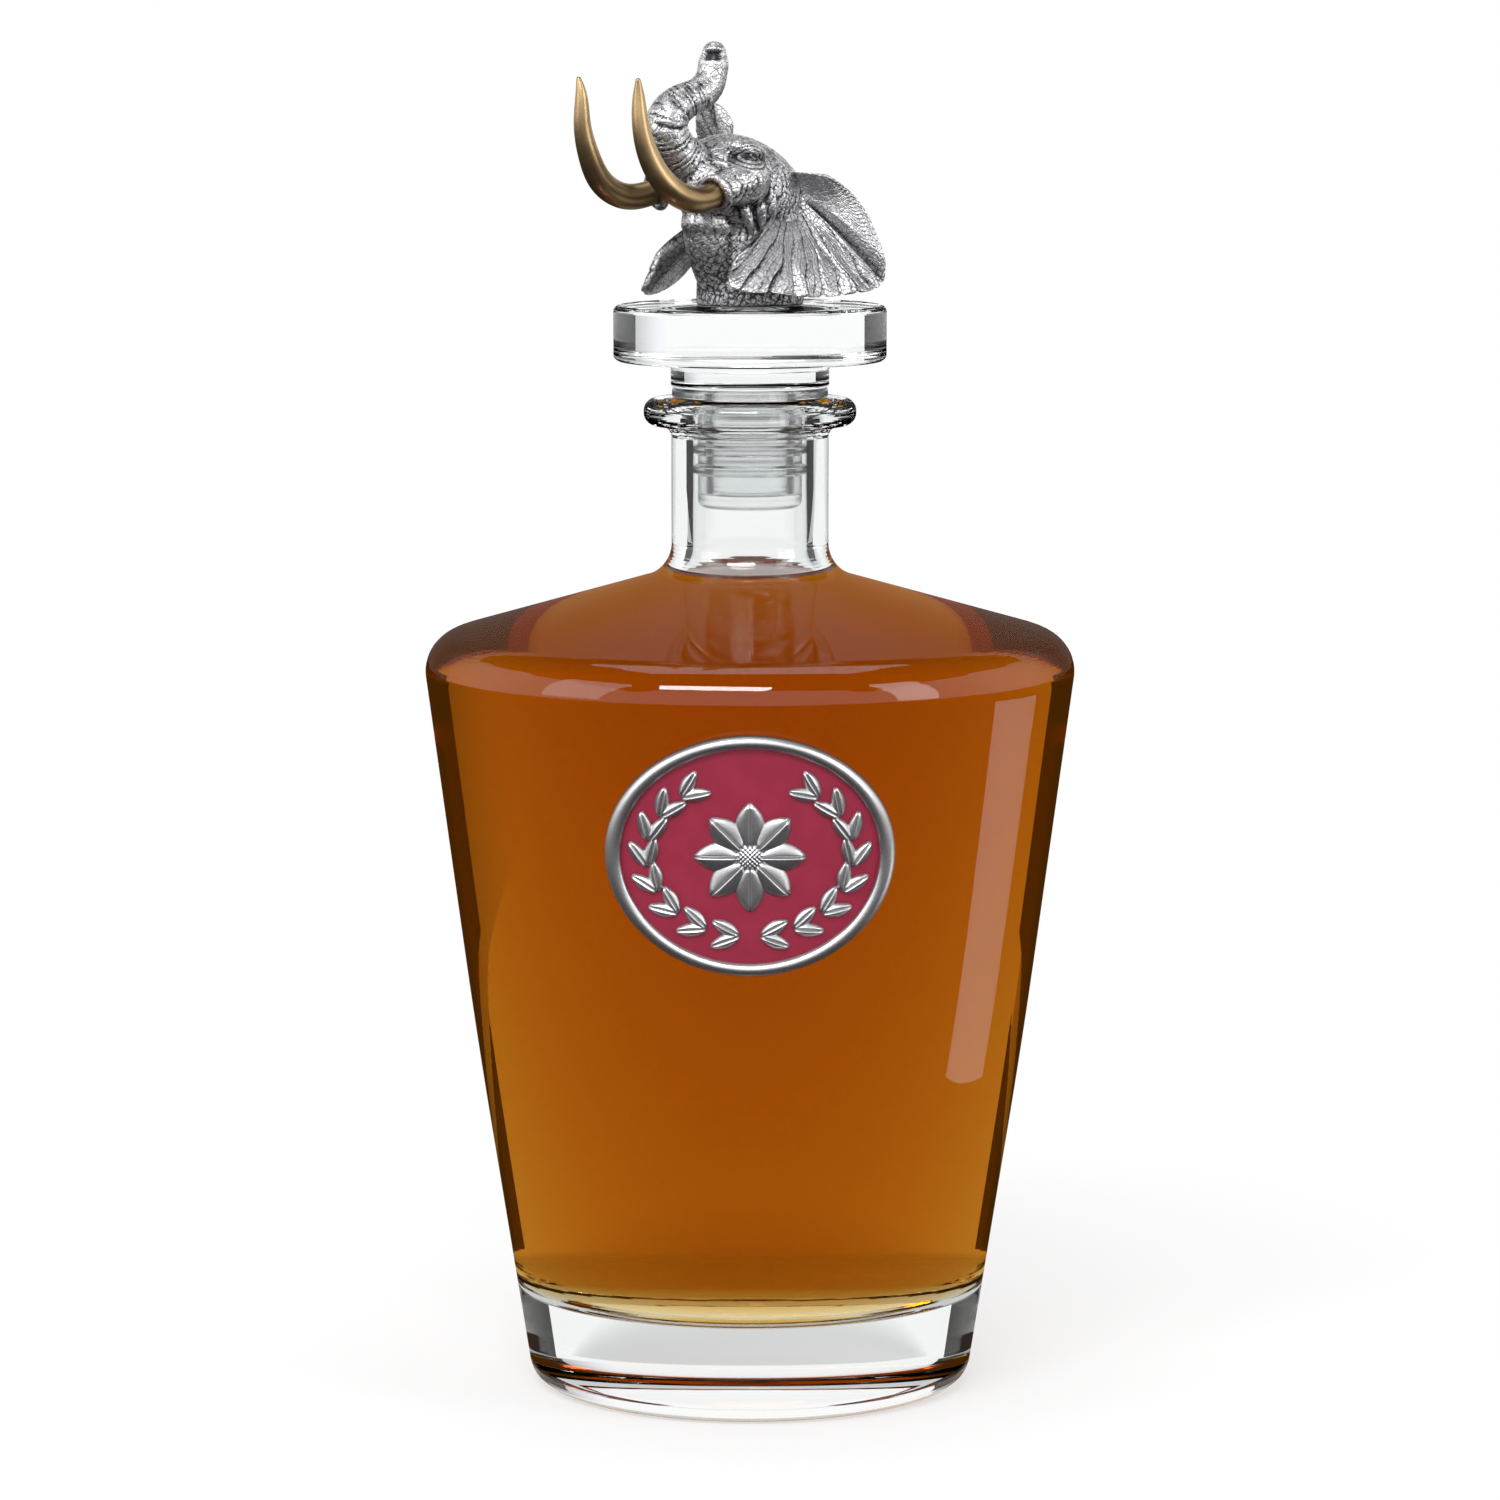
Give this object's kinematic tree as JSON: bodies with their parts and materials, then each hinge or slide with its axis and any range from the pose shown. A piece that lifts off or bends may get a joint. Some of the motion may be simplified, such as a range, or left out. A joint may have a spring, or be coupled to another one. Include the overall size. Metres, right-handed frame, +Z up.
{
  "type": "figural liquor decanter",
  "caption": "Tapered clear glass decanter with an oval medallion, a ribbed sealing plug and a glass stopper that carries an elephant head figure.",
  "frame": {"origin": "centre of the base, on the table", "axes": "+Z up along the axis of the bottle, the medallion faces -Y, and the elephant looks to -X and a little to -Y"},
  "size_m": [0.1104, 0.1124, 0.229],
  "materials": {
    "bottle_glass": "clear pressed glass, fire polished",
    "stopper_glass": "clear pressed glass, polished",
    "seal_plastic": "translucent moulded polyethylene",
    "pewter": "cast pewter with a dark antique patina, polished on the high spots",
    "bronze": "satin bronze plated casting",
    "crimson_enamel": "crimson cold enamel",
    "adhesive": "clear cured adhesive film"
  },
  "bodies": {
    "decanter": {"glass_bottle": "bottle_glass", "medallion": "pewter", "medallion_enamel": "crimson_enamel", "medallion_adhesive": "adhesive"},
    "seal": {"seal_sleeve": "seal_plastic"},
    "stopper": {"stopper_glass": "stopper_glass", "finial_adhesive": "adhesive", "head_casting": "pewter", "trunk_casting": "pewter", "ear_left": "pewter", "ear_right": "pewter", "tusk_left": "bronze", "tusk_right": "bronze"}
  },
  "joints": [
    {"name": "stopper_lift", "type": "slide", "parent": "decanter", "child": "seal", "axis": [0, 0, 1], "range_m": [0, 0.06]},
    {"name": "stopper_twist", "type": "hinge", "parent": "seal", "child": "stopper", "pos_m": [0, 0, 0.17], "axis": [0, 0, 1], "continuous": true}
  ]
}
